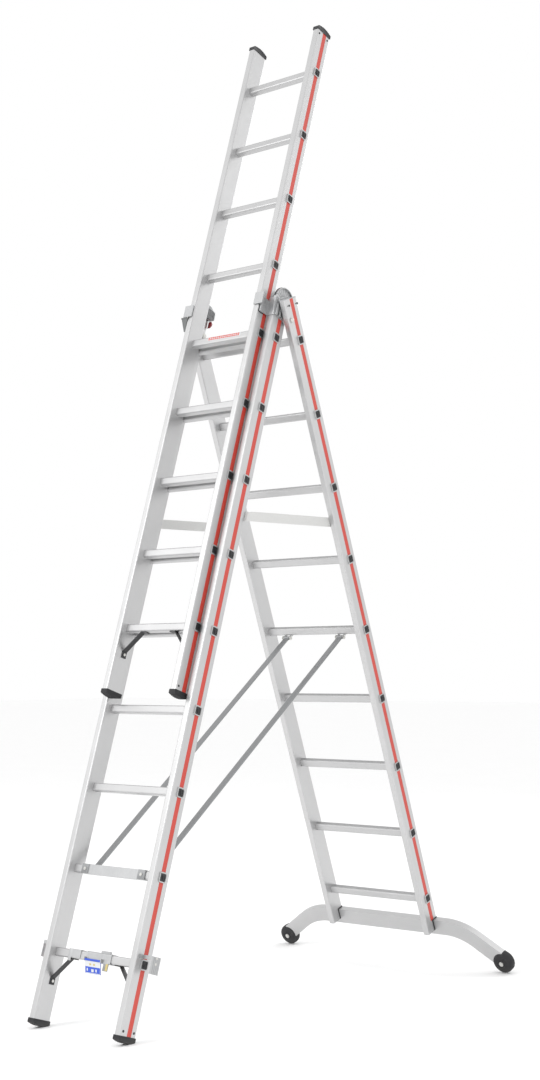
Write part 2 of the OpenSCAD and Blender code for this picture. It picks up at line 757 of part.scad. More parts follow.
strut_lugs();
strut_pins();
color("#9a9c9d") on_left() strut();  // strut_left
color("#9a9c9d") strut();  // strut_right
strut_rod();
catch_flap();
catch_pin();
label_plate();
label_pin();
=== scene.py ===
"""Combination ladder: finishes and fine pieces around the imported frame."""
import json
import math
import bmesh
import bpy
from mathutils import Matrix, Vector


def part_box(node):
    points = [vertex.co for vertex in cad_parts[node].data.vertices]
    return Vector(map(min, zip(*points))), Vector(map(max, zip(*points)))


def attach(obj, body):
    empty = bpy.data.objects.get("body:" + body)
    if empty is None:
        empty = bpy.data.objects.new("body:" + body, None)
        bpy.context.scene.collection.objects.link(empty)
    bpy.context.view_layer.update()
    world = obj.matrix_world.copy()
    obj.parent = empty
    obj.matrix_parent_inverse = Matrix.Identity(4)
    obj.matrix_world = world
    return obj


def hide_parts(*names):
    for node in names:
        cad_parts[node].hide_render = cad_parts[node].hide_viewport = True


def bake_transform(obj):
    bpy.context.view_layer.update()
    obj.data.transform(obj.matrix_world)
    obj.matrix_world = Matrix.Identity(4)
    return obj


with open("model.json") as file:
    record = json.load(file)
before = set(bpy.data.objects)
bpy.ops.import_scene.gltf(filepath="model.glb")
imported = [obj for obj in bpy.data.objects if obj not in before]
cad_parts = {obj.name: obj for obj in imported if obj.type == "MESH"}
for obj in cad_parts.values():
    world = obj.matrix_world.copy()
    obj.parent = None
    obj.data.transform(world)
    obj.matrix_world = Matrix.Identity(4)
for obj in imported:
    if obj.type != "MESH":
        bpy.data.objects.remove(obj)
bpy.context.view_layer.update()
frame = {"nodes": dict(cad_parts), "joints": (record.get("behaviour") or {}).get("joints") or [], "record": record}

MM = 0.001
JOINT = {j["name"]: j for j in frame["joints"]}
HINGE = Vector(JOINT["rear_fold"]["pos_m"])
SLIDE = Vector(JOINT["raise_slide"]["axis"])
FRONT_LEAN = math.atan2(SLIDE.y, SLIDE.z)
REAR_LEAN = math.radians(JOINT["rear_fold"]["range_deg"][1]) - FRONT_LEAN
RUNGS = 9
PITCH = 280 * MM
NEST = 47 * MM
HINGE_RISE = 2318 * MM
RAISED_BY = 4 * PITCH
RAIL = 25 * MM
RAIL_DEPTH = 74 * MM
RAIL_MIDDLE = -5 * MM
RUNG = 28 * MM
RIM_OUT = 3.5 * MM
HALF_WIDTH = {"base": 209 * MM, "raised_section": 173 * MM, "rear_section": 245 * MM}
BASE_END = -223 * MM
RAISED_END = -231 * MM
RAISED_TOP = (RUNGS - 1) * PITCH + 176 * MM
CAP_EDGE = 14 * MM
CAP_OVER = 1.5 * MM
HOOD_RISE = (RUNGS - 1) * PITCH + 145 * MM
HOOD_RADIUS = 50 * MM
STRUT_X = 130 * MM
FOOT_RADIUS = 42 * MM
FOOT_STANCE = 526 * MM
BAR_SLOPE = math.radians(35)
SMOOTH_UNDER = math.radians(32)

# Axes of each section: x across, y towards the back, z up the rails, from the middle of its lowest rung
BASE = (Matrix.Translation(HINGE) @ Matrix.Rotation(-FRONT_LEAN, 4, "X")
        @ Matrix.Translation((0, -NEST / 2, -HINGE_RISE)))
RAISED = BASE @ Matrix.Translation((0, -NEST, RAISED_BY))
REAR = (Matrix.Translation(HINGE) @ Matrix.Rotation(REAR_LEAN, 4, "X")
        @ Matrix.Translation((0, NEST / 2, -HINGE_RISE)))
AXES = {"base": BASE, "raised_section": RAISED, "rear_section": REAR}


# ---- camera, floor and light ----

def set_camera():
    data = bpy.data.cameras.new("camera")
    data.sensor_width = 36
    data.lens = 52.985
    data.shift_x, data.shift_y = 0.0072, 0.0029
    camera = bpy.data.objects.new("camera", data)
    camera.location = (3.7791, -4.5215, 1.1816)
    camera.rotation_euler = [math.radians(a) for a in (94.443, 0.286, 39.529)]
    bpy.context.scene.collection.objects.link(camera)
    bpy.context.scene.camera = camera


def area_light(name, place, aim, size, watts):
    data = bpy.data.lights.new(name, "AREA")
    data.shape = "RECTANGLE"
    data.size, data.size_y = size
    data.energy = watts
    lamp = bpy.data.objects.new(name, data)
    lamp.location = place
    lamp.rotation_euler = (Vector(aim) - Vector(place)).to_track_quat("-Z", "Y").to_euler()
    bpy.context.scene.collection.objects.link(lamp)


set_camera()


# ---- shader maths ----

class Value:
    """A node's output that takes part in Python arithmetic; each operation adds a Math node."""

    def __init__(self, tree, socket):
        self.tree, self.socket = tree, socket

    def _math(self, operation, first, second=None):
        node = self.tree.nodes.new("ShaderNodeMath")
        node.operation = operation
        for slot, value in zip(node.inputs, (first, second)):
            if value is not None:
                plug(self.tree, value, slot)
        return Value(self.tree, node.outputs[0])

    def __add__(self, other): return self._math("ADD", self, other)
    def __radd__(self, other): return self._math("ADD", other, self)
    def __sub__(self, other): return self._math("SUBTRACT", self, other)
    def __rsub__(self, other): return self._math("SUBTRACT", other, self)
    def __mul__(self, other): return self._math("MULTIPLY", self, other)
    def __rmul__(self, other): return self._math("MULTIPLY", other, self)
    def larger(self, other): return self._math("MAXIMUM", self, other)
    def smaller(self, other): return self._math("MINIMUM", self, other)
    def sine(self): return self._math("SINE", self)
    def size(self): return self._math("ABSOLUTE", self)


def plug(tree, value, slot):
    """Links a Value to a socket, or sets the socket to a plain number, colour or vector."""
    if isinstance(value, Value):
        tree.links.new(value.socket, slot)
    elif isinstance(value, (int, float)) or not hasattr(slot.default_value, "__len__"):
        slot.default_value = value
    else:
        slot.default_value = (*value, 1)[:len(slot.default_value)]


class Finish:
    """A procedural material whose pattern follows a section's own axes, in metres."""

    def __init__(self, name, turn=0.0, **constants):
        self.material = bpy.data.materials.new(name)
        self.material.use_nodes = True
        self.tree = self.material.node_tree
        self.shader = self.tree.nodes["Principled BSDF"]
        for socket, value in constants.items():
            plug(self.tree, value, self.shader.inputs[socket.replace("_", " ")])
        place = self.node("ShaderNodeTexCoord", out="Object")
        self.place = self.node("ShaderNodeMapping", Vector=place, Rotation=(turn, 0, 0))

    def node(self, kind, settings=None, out=0, **inputs):
        made = self.tree.nodes.new(kind)
        for key, value in (settings or {}).items():
            setattr(made, key, value)
        for key, value in inputs.items():
            slot = made.inputs[int(key[1:])] if key[0] == "i" and key[1:].isdigit() else made.inputs[key]
            plug(self.tree, value, slot)
        return Value(self.tree, made.outputs[out])

    def stretched(self, *scale):
        return self.node("ShaderNodeMapping", Vector=self.place, Scale=scale)

    def noise(self, where, scale=1.0, detail=3.0, roughness=0.5):
        return self.node("ShaderNodeTexNoise", out="Fac", Vector=where, Scale=scale, Detail=detail,
                         Roughness=roughness)

    def parts(self, vector):
        split = self.node("ShaderNodeSeparateXYZ", i0=vector).socket.node
        return [Value(self.tree, s) for s in split.outputs]

    def mix(self, amount, low, high):
        return self.node("ShaderNodeMix", {"data_type": "RGBA"}, out=2, i0=amount, i6=low, i7=high)

    def feed(self, bump=None, strength=0.2, distance=0.0005, **sockets):
        for socket, value in sockets.items():
            plug(self.tree, value, self.shader.inputs[socket.replace("_", " ")])
        if bump is not None:
            normal = self.node("ShaderNodeBump", Height=bump, Strength=strength, Distance=distance)
            plug(self.tree, normal, self.shader.inputs["Normal"])
        return self.material


def metal(name, turn, pale, dark, along, roughness, line_bump=0.25, metallic=0.9):
    """Drawn or brushed metal: fine lines along one axis, soft cloudy patches, a few scuffs."""
    f = Finish(name, turn, Metallic=metallic)
    lines = f.noise(f.stretched(*along), 1.0, 4.0, 0.65)
    broad = f.noise(f.place, 7.0, 3.0)
    scuff = f.noise(f.stretched(60, 60, 22), 1.0, 6.0, 0.7)
    scuff = ((scuff - 0.62) * 7).larger(0).smaller(1)
    tone = (lines * 0.55 + broad * 0.45 + scuff * 0.25).smaller(1)
    rough = roughness + (lines - 0.5) * 0.16 + (broad - 0.5) * 0.12 + scuff * 0.1
    return f.feed(bump=lines + scuff * 0.4, strength=line_bump, distance=0.0003,
                  Base_Color=f.mix(tone, dark, pale), Roughness=rough)


def moulded(name, colour, worn, roughness, grain=900.0, strength=0.18, dusty=False):
    """Moulded or coated surface: fine grain, faint flow marks, paler where it is rubbed or dusty."""
    f = Finish(name)
    fine = f.noise(f.place, grain, 2.0)
    broad = f.noise(f.place, 35.0, 4.0)
    rub = ((broad - 0.55) * 4).larger(0).smaller(1)
    if dusty:
        height = f.parts(f.place)[2]
        rub = (rub * 0.5 + (0.03 - height).larger(0) * 22).smaller(1)
    return f.feed(bump=fine + broad * 0.5, strength=strength, distance=0.0004,
                  Base_Color=f.mix(rub, colour, worn), Roughness=roughness + (fine - 0.5) * 0.15 + rub * 0.1)


def film(name, colour, shade, roughness=0.34):
    """Coloured film or print: even colour with slight fading and a thin clear coat."""
    f = Finish(name, Coat_Weight=0.25, Coat_Roughness=0.2)
    fade = f.noise(f.place, 9.0, 3.0)
    speck = f.noise(f.place, 420.0, 2.0)
    return f.feed(bump=speck, strength=0.08, distance=0.0003,
                  Base_Color=f.mix(fade * 0.7 + speck * 0.3, colour, shade),
                  Roughness=roughness + (speck - 0.5) * 0.12)


def woven(name, pale, dark):
    """Webbing woven over one and under one; reads the strap's own map in metres."""
    f = Finish(name, Roughness=0.85, Sheen_Weight=0.3)
    across, along, _ = f.parts(f.node("ShaderNodeTexCoord", out="UV"))
    ribs = (across * (math.pi / 0.0014)).sine().size()
    picks = (along * (math.pi / 0.0011)).sine().size()
    weave = ribs * 0.6 + picks * 0.4
    lint = f.noise(f.place, 260.0, 4.0)
    return f.feed(bump=weave + lint * 0.3, strength=0.5, distance=0.0005,
                  Base_Color=f.mix((weave * 0.7 + lint * 0.3).smaller(1), dark, pale))


PALE, GREY = (0.66, 0.66, 0.662), (0.52, 0.52, 0.523)
RUNG_PALE, RUNG_GREY = (0.62, 0.62, 0.622), (0.47, 0.47, 0.473)
UP_THE_RAIL, ACROSS = (1100, 1100, 5), (5, 1000, 1000)
FINISH = {
    "rail_front": metal("rail aluminium front", FRONT_LEAN, PALE, GREY, UP_THE_RAIL, 0.36),
    "rail_rear": metal("rail aluminium rear", -REAR_LEAN, PALE, GREY, UP_THE_RAIL, 0.36),
    "rung_front": metal("rung aluminium front", FRONT_LEAN, RUNG_PALE, RUNG_GREY, ACROSS, 0.4),
    "rung_rear": metal("rung aluminium rear", -REAR_LEAN, RUNG_PALE, RUNG_GREY, ACROSS, 0.4),
    "bracket": metal("bracket aluminium", FRONT_LEAN, (0.6, 0.605, 0.61), (0.38, 0.385, 0.39),
                     (300, 300, 60), 0.42, 0.35),
    "crossbar": metal("crossbar aluminium", -REAR_LEAN, (0.62, 0.62, 0.622), (0.48, 0.48, 0.483),
                      (6, 900, 900), 0.38),
    "strut": metal("strut aluminium", 0.0, (0.36, 0.365, 0.37), (0.25, 0.255, 0.26), (600, 160, 160), 0.42),
    "zinc": metal("zinc plated steel", 0.0, (0.78, 0.77, 0.74), (0.52, 0.52, 0.5), (180, 180, 180), 0.3),
    "rubber": moulded("sole rubber", (0.018, 0.018, 0.02), (0.075, 0.073, 0.07), 0.72, 650.0, 0.3, True),
    "plastic": moulded("black plastic", (0.02, 0.02, 0.022), (0.05, 0.05, 0.052), 0.42),
    "coated": moulded("black coated steel", (0.02, 0.02, 0.022), (0.06, 0.06, 0.062), 0.45, 1400.0, 0.3),
    "nylon": moulded("grey nylon", (0.4, 0.41, 0.42), (0.52, 0.53, 0.54), 0.5),
    # Dark grey for the catch flap; the same colour on the bracket plates is painted shade for their grooves.
    "dark_grey_and_painted_shade": moulded("dark grey coated steel", (0.13, 0.135, 0.135), (0.2, 0.205, 0.205), 0.45, 1400.0, 0.3),
    "stripe": film("red stripe film", (0.62, 0.055, 0.035), (0.5, 0.04, 0.025)),
    "dark_red": film("dark red plastic", (0.3, 0.012, 0.02), (0.2, 0.008, 0.012)),
    "print_blue": film("blue print", (0.03, 0.1, 0.62), (0.02, 0.07, 0.5)),
    "print_pale": film("pale print", (0.72, 0.73, 0.74), (0.6, 0.61, 0.62)),
    "print_yellow": film("yellow print", (0.62, 0.5, 0.2), (0.5, 0.4, 0.16)),
    "webbing": woven("light webbing", (0.72, 0.72, 0.71), (0.5, 0.5, 0.49)),
}
SLOT_FINISH = {
    "bracket_aluminium": "bracket", "crossbar_aluminium": "crossbar", "strut_aluminium": "strut",
    "zinc_steel": "zinc", "black_steel": "coated", "black_rubber": "rubber",
    "black_plastic": "plastic", "black_rivet": "plastic", "grey_nylon": "nylon",
    "red_stripe": "stripe", "webbing": "webbing", "label_blue": "print_blue",
}
NODE_FINISH = {"catch_flap": "dark_grey_and_painted_shade"}


def dress_frame():
    bodies = frame["record"]["behaviour"]["bodies"]
    body_of = {node: body for body, nodes in bodies.items() for node in nodes}
    for row in frame["record"]["subparts"]:
        node, slot = row["node"], row["material_slot"]
        side = "rear" if body_of[node] == "rear_section" else "front"
        sided = {"rail_aluminium": "rail_" + side, "rung_aluminium": "rung_" + side}
        key = NODE_FINISH.get(node) or sided.get(slot) or SLOT_FINISH[slot]
        data = frame["nodes"][node].data
        data.materials.clear()
        data.materials.append(FINISH[key])


dress_frame()


# ---- mesh helpers ----

def piece(name, mesh, finish, body, axes=None):
    """Links a finished mesh as a piece that rides on a body; its place stays in the mesh."""
    if axes is not None:
        mesh.transform(axes)
    mesh.materials.clear()
    mesh.materials.append(FINISH[finish])
    mesh.set_sharp_from_angle(angle=SMOOTH_UNDER)
    obj = bpy.data.objects.new(name, mesh)
    bpy.context.scene.collection.objects.link(obj)
    if body:
        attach(obj, body)
    return obj


def to_mesh(bm, name):
    bmesh.ops.recalc_face_normals(bm, faces=bm.faces)
    mesh = bpy.data.meshes.new(name)
    for face in bm.faces:
        face.smooth = True
    bm.to_mesh(mesh)
    bm.free()
    return mesh


# ---- repeated pieces, made with Geometry Nodes ----

class Tree:
    """A Geometry Nodes tree with named inputs that ends in Realize Instances and Set Material."""

    KINDS = {"part": "NodeSocketObject", "finish": "NodeSocketMaterial", "count": "NodeSocketInt",
             "step": "NodeSocketVector", "size": "NodeSocketVector", "turn": "NodeSocketVector"}

    def __init__(self, name, *inputs):
        self.group = bpy.data.node_groups.new(name, "GeometryNodeTree")
        self.group.interface.new_socket("Geometry", in_out="OUTPUT", socket_type="NodeSocketGeometry")
        for key in inputs:
            self.group.interface.new_socket(key, in_out="INPUT",
                                            socket_type=self.KINDS.get(key, "NodeSocketFloat"))
        self.given = self.group.nodes.new("NodeGroupInput")

    def node(self, kind, settings=None, **inputs):
        made = self.group.nodes.new(kind)
        for key, value in (settings or {}).items():
            setattr(made, key, value)
        for key, value in inputs.items():
            slot = made.inputs[key.replace("_", " ")]
            if isinstance(value, bpy.types.NodeSocket):
                self.group.links.new(value, slot)
            else:
                slot.default_value = value
        return made.outputs[0]

    def close(self, points, turn):
        """One part on each point, realized, with its finish."""
        shape = self.node("GeometryNodeObjectInfo", Object=self.given.outputs["part"])
        shape = shape.node.outputs["Geometry"]
        placed = self.node("GeometryNodeInstanceOnPoints", Points=points, Instance=shape, Rotation=turn,
                           Scale=self.given.outputs["size"])
        real = self.node("GeometryNodeRealizeInstances", Geometry=placed)
        done = self.node("GeometryNodeSetMaterial", Geometry=real, Material=self.given.outputs["finish"])
        end = self.group.nodes.new("NodeGroupOutput")
        self.group.links.new(done, end.inputs[0])
        return self.group


def row_tree():
    """Parts in a straight row, each a step from the last."""
    t = Tree("parts in a row", "part", "finish", "count", "step", "size", "turn")
    line = t.node("GeometryNodeMeshLine", {"mode": "OFFSET"}, Count=t.given.outputs["count"],
                  Offset=t.given.outputs["step"])
    return t.close(line, t.given.outputs["turn"])


def ring_tree():
    """Parts round an arc about the x axis, each turned to face outwards."""
    t = Tree("parts round an arc", "part", "finish", "count", "radius", "first angle", "angle step", "size")
    line = t.node("GeometryNodeMeshLine", {"mode": "OFFSET"}, Count=t.given.outputs["count"])
    index = t.node("GeometryNodeInputIndex")

    def maths(operation, a, b=0.0):
        node = t.group.nodes.new("ShaderNodeMath")
        node.operation = operation
        for slot, value in zip(node.inputs, (a, b)):
            if isinstance(value, bpy.types.NodeSocket):
                t.group.links.new(value, slot)
            else:
                slot.default_value = value
        return node.outputs[0]

    angle = maths("ADD", t.given.outputs["first angle"],
                  maths("MULTIPLY", index, t.given.outputs["angle step"]))
    radius = t.given.outputs["radius"]
    spot = t.node("ShaderNodeCombineXYZ", Y=maths("MULTIPLY", radius, maths("COSINE", angle)),
                  Z=maths("MULTIPLY", radius, maths("SINE", angle)))
    moved = t.node("GeometryNodeSetPosition", Geometry=line, Position=spot)
    return t.close(moved, t.node("ShaderNodeCombineXYZ", X=angle))


ROW, RING = row_tree(), ring_tree()


def grow(tree, finish, part, **sizes):
    """Runs a tree and returns its result as a plain mesh."""
    holder = bpy.data.objects.new("holder", bpy.data.meshes.new("holder"))
    bpy.context.scene.collection.objects.link(holder)
    modifier = holder.modifiers.new("tree", "NODES")
    modifier.node_group = tree
    given = {"part": part, "finish": FINISH[finish], "size": (1, 1, 1), **sizes}
    for item in tree.interface.items_tree:
        if item.in_out == "INPUT" and item.name.replace(" ", "_") in given:
            modifier[item.identifier] = given[item.name.replace(" ", "_")]
    bpy.context.view_layer.update()
    result = holder.evaluated_get(bpy.context.evaluated_depsgraph_get())
    mesh = bpy.data.meshes.new_from_object(result)
    bpy.data.objects.remove(holder)
    return mesh


def joined(name, meshes):
    """One mesh from several (mesh, place) pairs."""
    bm = bmesh.new()
    for mesh, place in meshes:
        copy = mesh.copy()
        copy.transform(place)
        if place.determinant() < 0:
            copy.flip_normals()
        bm.from_mesh(copy)
        bpy.data.meshes.remove(copy)
    out = bpy.data.meshes.new(name)
    bm.to_mesh(out)
    bm.free()
    return out


def template(name, bm):
    """A part that only the trees use; it isn't linked to the scene."""
    return bpy.data.objects.new(name, to_mesh(bm, name))


def at(x=0.0, y=0.0, z=0.0):
    return Matrix.Translation((x, y, z))


MIRROR = Matrix.Scale(-1, 4, (1, 0, 0))
BOTH = (Matrix.Identity(4), MIRROR)
HALF_TURN = Matrix.Rotation(math.pi, 4, "Z")


def on_both(mesh, place):
    """The mesh at a place on the right, and mirrored on the left."""
    return [(mesh, side @ place) for side in BOTH]


def level_with(node, x):
    """The place x across, at the middle height and depth of a frame node."""
    low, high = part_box(node)
    return at(x, (low.y + high.y) / 2, (low.z + high.z) / 2)


def turned(profile, steps=24):
    """Mesh turned about the x axis from (x, radius) pairs."""
    bm = bmesh.new()
    rings = []
    for x, r in profile:
        if r == 0:
            rings.append([bm.verts.new((x, 0, 0))])
        else:
            rings.append([bm.verts.new((x, r * math.cos(a), r * math.sin(a)))
                          for a in (2 * math.pi * i / steps for i in range(steps))])
    for low, high in zip(rings, rings[1:]):
        for i in range(steps):
            j = (i + 1) % steps
            loop = [low[i % len(low)], low[j % len(low)], high[j % len(high)], high[i % len(high)]]
            loop = [v for k, v in enumerate(loop) if v not in loop[:k]]
            bm.faces.new(loop)
    return bm


def rounded(width, height, radius, steps=5):
    """Outline of a rounded rectangle around the origin."""
    out = []
    for cx, cy, first in ((1, 1, 0), (-1, 1, 90), (-1, -1, 180), (1, -1, 270)):
        for i in range(steps + 1):
            a = math.radians(first + 90 * i / steps)
            out.append((cx * (width / 2 - radius) + radius * math.cos(a),
                        cy * (height / 2 - radius) + radius * math.sin(a)))
    return out


def stacked(layers, outline_of):
    """Closed solid along x through (x, value) layers, each an outline in (y, z)."""
    bm = bmesh.new()
    rings = [[bm.verts.new((x, y, z)) for y, z in outline_of(value)] for x, value in layers]
    for low, high in zip(rings, rings[1:]):
        for i in range(len(low)):
            j = (i + 1) % len(low)
            bm.faces.new((low[i], low[j], high[j], high[i]))
    bm.faces.new(list(reversed(rings[0])))
    bm.faces.new(rings[-1])
    return bm


def bar(x0, x1, outline, bevel=0.0):
    """Outline in (y, z) drawn out from x0 to x1, with its sharp edges broken."""
    bm = bmesh.new()
    low = [bm.verts.new((x0, y, z)) for y, z in outline]
    high = [bm.verts.new((x1, y, z)) for y, z in outline]
    count = len(outline)
    for i in range(count):
        j = (i + 1) % count
        bm.faces.new((low[i], low[j], high[j], high[i]))
    bm.faces.new(list(reversed(low)))
    bm.faces.new(high)
    bmesh.ops.recalc_face_normals(bm, faces=bm.faces)
    if bevel:
        edges = [e for e in bm.edges if e.calc_face_angle(0) > math.radians(40)]
        bmesh.ops.bevel(bm, geom=edges, offset=bevel, segments=2, profile=0.7, affect="EDGES")
    return bm


def make_rung_plugs():
    """Black plugs in the hollow rung ends, dished with a cross of two ribs."""
    hollow = 25.4 * MM

    def outline(inset):
        return rounded(hollow - 2 * inset, hollow - 2 * inset, 4 * MM)

    body = stacked([(-6 * MM, 0.3 * MM), (-0.6 * MM, 0), (0, 0.5 * MM), (-0.2 * MM, 1.6 * MM),
                    (-1.6 * MM, 2.4 * MM), (-2 * MM, 4 * MM), (-2.2 * MM, 11 * MM)], outline)
    for turn in (0, 90):
        rib = bmesh.new()
        place = at(-1.9 * MM) @ Matrix.Rotation(math.radians(turn + 20), 4, "X")
        shape = Matrix.Diagonal((2 * MM, hollow * 0.62, 1.2 * MM, 1))
        bmesh.ops.create_cube(rib, size=1, matrix=place @ shape)
        mesh = bpy.data.meshes.new("rib")
        rib.to_mesh(mesh)
        body.from_mesh(mesh)
    plug_part = template("rung plug", body)
    for body_name, half in HALF_WIDTH.items():
        row = grow(ROW, "plastic", plug_part, count=RUNGS, step=(0, 0, PITCH))
        mesh = joined("plugs", on_both(row, at(half + RIM_OUT - 0.8 * MM)))
        piece(body_name + "_rung_plugs", mesh, "plastic", body_name, AXES[body_name])


def dome(radius, height, name):
    """Rivet head: a low dome with a thin washer rim and a sunk middle."""
    profile = [(-0.4 * MM, radius), (0.25 * height, radius), (0.35 * height, radius * 0.86),
               (0.75 * height, radius * 0.7), (height, radius * 0.42), (height * 0.96, radius * 0.26),
               (height * 0.7, radius * 0.2), (height * 0.7, 0)]
    return template(name, turned(profile, 18))


def make_rivets():
    """Domed black rivets through the caps, over the flat rivets of the frame."""
    head = dome(4.2 * MM, 2.2 * MM, "rivet head")
    rail_front, rail_rear = RAIL_MIDDLE - RAIL_DEPTH / 2, RAIL_MIDDLE + RAIL_DEPTH / 2
    first, last = rail_front + 12 * MM, rail_rear - 12 * MM
    ends = {
        "base": [(first, last, BASE_END + CAP_EDGE)],
        "raised_section": [(first, last, RAISED_END + CAP_EDGE), (first, last, RAISED_TOP - CAP_EDGE)],
        "rear_section": [(30 * MM, -20 * MM, 2371 * MM)],
    }
    nodes = {"base": "base_rivets", "raised_section": "ext_rivets", "rear_section": "rear_rivets"}
    for body_name, rows in ends.items():
        parts = []
        for first, last, height in rows:
            row = grow(ROW, "plastic", head, count=2, step=(0, last - first, 0))
            parts += on_both(row, at(HALF_WIDTH[body_name], first, height))
        made = piece(nodes[body_name] + "_domed", joined("rivets", parts), "plastic", body_name,
                     AXES[body_name])
        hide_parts(nodes[body_name])


def sole_outline(upward):
    """Side view of an end cap: curved sole cut by tread grooves, with a rounded shoulder."""
    half, radius = RAIL_DEPTH / 2 + CAP_OVER, 100 * MM
    middle = math.sqrt(radius ** 2 - half ** 2) - CAP_EDGE
    groove, pitch = 1.6 * MM, 9 * MM
    points = [(half - 1.2 * MM, 0), (-half + 1.2 * MM, 0), (-half, -1.2 * MM)]
    steps = 96
    for i in range(steps + 1):
        y = half * (2 * i / steps - 1)
        in_groove = abs((y + pitch / 2) % pitch - pitch / 2) < 1.3 * MM and abs(y) < half - 7 * MM
        depth = groove if in_groove else 0
        points.append((y, middle - math.sqrt(radius ** 2 - y * y) + depth))
    points.append((half, -1.2 * MM))
    sign = -1 if upward else 1
    return [(RAIL_MIDDLE + y, sign * z) for y, z in points]


def make_end_caps():
    """Moulded caps on the rail ends, with a raised rim and a sunk panel on each side face."""
    spots = {"base_foot": ("base", BASE_END, False), "ext_foot": ("raised_section", RAISED_END, False),
             "ext_top_cap": ("raised_section", RAISED_TOP, True)}
    for stem, (body_name, height, upward) in spots.items():
        outer = HALF_WIDTH[body_name]
        finish, slot = ("plastic", "black_plastic") if upward else ("rubber", "black_rubber")
        for side, word in zip(BOTH, ("right", "left")):
            bm = bar(outer - RAIL - CAP_OVER, outer + CAP_OVER, sole_outline(upward))
            for face in [f for f in bm.faces if len(f.verts) > 50]:
                bmesh.ops.inset_region(bm, faces=[face], thickness=1.6 * MM, use_even_offset=True)
                bmesh.ops.translate(bm, verts=face.verts, vec=face.normal * -0.5 * MM)
            mesh = joined(stem, [(to_mesh(bm, stem), side @ at(z=height))])
            made = piece(stem + "_ribbed_" + word, mesh, finish, body_name, AXES[body_name])
            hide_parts(f"{stem}_{word}")


def strap_path():
    """Middle line of a belt in the base section's axes, with the way its width points at each step."""
    lean = (FRONT_LEAN + REAR_LEAN) / 2
    rail_back = RAIL_MIDDLE + RAIL_DEPTH / 2
    rise, x_side = 1555 * MM, HALF_WIDTH["rear_section"] - RAIL - 1.1 * MM
    drop = HINGE_RISE - rise
    far = (2 * drop * math.sin(lean) - (rail_back - NEST / 2) / math.cos(lean)
           - RAIL_MIDDLE - RAIL_DEPTH / 2)
    along, up = Vector((0, math.cos(lean), math.sin(lean))), Vector((0, -math.sin(lean), math.cos(lean)))
    start, upright = Vector((x_side, rail_back, rise)), Vector((0, 0, 1))
    bend = ((-19 * MM, 0.9 * MM), (-4 * MM, 0.9 * MM), (-1.2 * MM, 1.6 * MM), (0, 4.5 * MM))
    path = [(Vector((x_side + x, rail_back + y, rise)), upright) for x, y in bend]
    length = far + 26 * MM
    steps = 60
    for i in range(1, steps + 1):
        t = i / steps
        s = 8 * MM + t * (length - 8 * MM)
        ease = min(1.0, t * 5)
        slack = -0.6 * MM * math.sin(math.pi * min(1.0, s / far)) * math.sin(5 * math.pi * t)
        spot = start + along * s + Vector((slack, 0, 0))
        path.append((spot, upright.lerp(up, ease).normalized()))
    return path


def make_belts():
    """Webbing belts between the base and rear rails, with rows of stitches and two studs at the rear end."""
    width, half_thick, across = 35 * MM, 0.8 * MM, 10
    path = strap_path()
    stitch_bm = bmesh.new()
    bmesh.ops.create_cube(stitch_bm, size=1, matrix=Matrix.Diagonal((0.7 * MM, 2.6 * MM, 0.7 * MM, 1)))
    bmesh.ops.bevel(stitch_bm, geom=stitch_bm.edges[:], offset=0.2 * MM, segments=1, affect="EDGES")
    stitch = template("stitch", stitch_bm)
    washer = dome(8 * MM, 2.4 * MM, "belt washer")
    for side, word in zip(BOTH, ("right", "left")):
        bm = bmesh.new()
        uv = bm.loops.layers.uv.new("strap")
        rows, measured = [], 0.0
        for i, (spot, wide) in enumerate(path):
            ahead = path[min(i + 1, len(path) - 1)][0] - path[max(i - 1, 0)][0]
            normal = wide.cross(ahead).normalized()
            measured += (spot - path[i - 1][0]).length if i else 0
            ring = []
            for layer in (1, -1):
                order = range(across + 1) if layer == 1 else range(across, -1, -1)
                for j in order:
                    v = (j / across - 0.5) * width
                    thin = half_thick * (1.0 if 0 < j < across else 0.45)
                    ring.append((bm.verts.new(spot + wide * v + normal * (thin * layer)), v, measured))
            rows.append(ring)
        for low, high in zip(rows, rows[1:]):
            for j in range(len(low)):
                k = (j + 1) % len(low)
                corners = (low[j], low[k], high[k], high[j])
                face = bm.faces.new([c[0] for c in corners])
                for loop, corner in zip(face.loops, corners):
                    loop[uv].uv = corner[1:]
        bm.faces.new([c[0] for c in reversed(rows[0])])
        bm.faces.new([c[0] for c in rows[-1]])
        mesh = joined("belt", [(to_mesh(bm, "belt"), side)])
        belt = piece("belt_woven_" + word, mesh, "webbing", None, BASE)
        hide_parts("belt_" + word)
        ends = [side @ p for p in (path[4][0], path[-6][0])]
        BASE @ ends[0]
        BASE @ ends[1]
        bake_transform(belt)
        rear_end, up = path[-6][0], path[-6][1]
        ahead = (path[-1][0] - path[-8][0]).normalized()
        frame_axes = Matrix((Vector((1, 0, 0)), ahead, up)).transposed().to_4x4()
        seams = []
        for offset in (-13 * MM, -5 * MM, 5 * MM, 13 * MM):
            row = grow(ROW, "stripe", stitch, count=9, step=(0, 4 * MM, 0))
            place = Matrix.Translation(path[-12][0] + up * offset + Vector((-0.9 * MM, 0, 0))) @ frame_axes
            seams.append((row, side @ place))
        piece("belt_stitches_" + word, joined("stitches", seams), "print_pale", "rear_section",
              BASE)
        stud = grow(ROW, "zinc", washer, count=2, step=(0, 16 * MM, 0))
        place = Matrix.Translation(rear_end + Vector((-1.2 * MM, 0, 0))) @ frame_axes @ HALF_TURN
        piece("belt_studs_" + word, joined("studs", [(stud, side @ place)]), "zinc", "rear_section",
              BASE)


